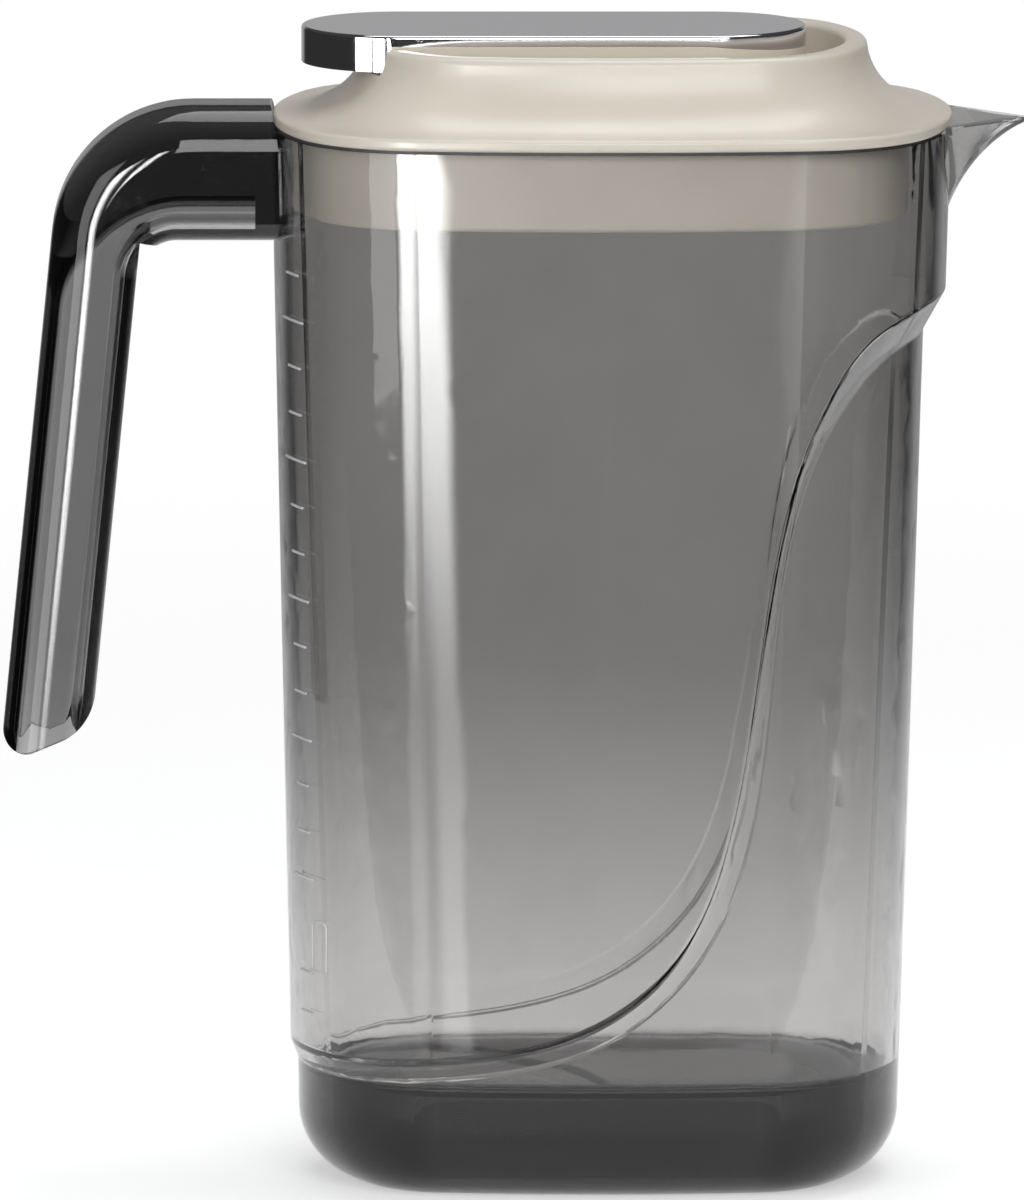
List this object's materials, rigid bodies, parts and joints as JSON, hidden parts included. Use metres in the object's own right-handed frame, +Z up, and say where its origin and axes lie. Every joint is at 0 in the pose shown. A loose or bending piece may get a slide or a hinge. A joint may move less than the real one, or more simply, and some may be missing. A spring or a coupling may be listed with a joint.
{
  "type": "fridge drink dispenser",
  "caption": "Smoky clear fridge jug with a side handle and pouring beak, a lift-off lid with a plug and strainer, and a chromed thumb lever that swings a pour gate.",
  "frame": {"origin": "on the plane that the foot stands on, under the middle of the lid", "axes": "+X from the handle towards the pouring beak, +Y to the far side, +Z up"},
  "size_m": [0.2233, 0.105, 0.2544],
  "materials": {
    "smoky_clear": "smoky clear moulded plastic, polished inside and out",
    "smoky_handle": "the jug's smoky clear plastic, polished",
    "cream_lid": "opaque cream moulded plastic, satin gloss",
    "cream_plug": "opaque cream moulded plastic, satin gloss",
    "strainer": "opaque cream moulded plastic, satin gloss",
    "gasket": "grey silicone, matt",
    "cream_lever": "opaque cream moulded plastic, satin gloss",
    "chrome_cap": "chromed plastic, mirror bright",
    "pin_steel": "plain stainless wire",
    "screw_steel": "plain stainless",
    "gate_plastic": "cream moulded plastic, matt",
    "gate_rubber": "grey silicone, matt"
  },
  "bodies": {
    "jug": {"jug_body": "smoky_clear", "handle": "smoky_handle"},
    "lid": {"lid_top": "cream_lid", "lid_plug": "cream_plug", "pour_strainer": "strainer", "lid_gasket": "gasket", "lever_pin": "pin_steel"},
    "lever": {"lever_body": "cream_lever", "lever_cap": "chrome_cap", "cap_screws": "screw_steel", "gate_arm": "gate_plastic", "gate_seal": "gate_rubber"}
  },
  "joints": [
    {"name": "lid_lift", "type": "slide", "parent": "jug", "child": "lid", "axis": [0, 0, 1], "range_m": [0, 0.06]},
    {"name": "lever_hinge", "type": "hinge", "parent": "lid", "child": "lever", "pos_m": [0.0355, 0, 0.247], "axis": [0, 1, 0], "range_deg": [0, 25]}
  ]
}
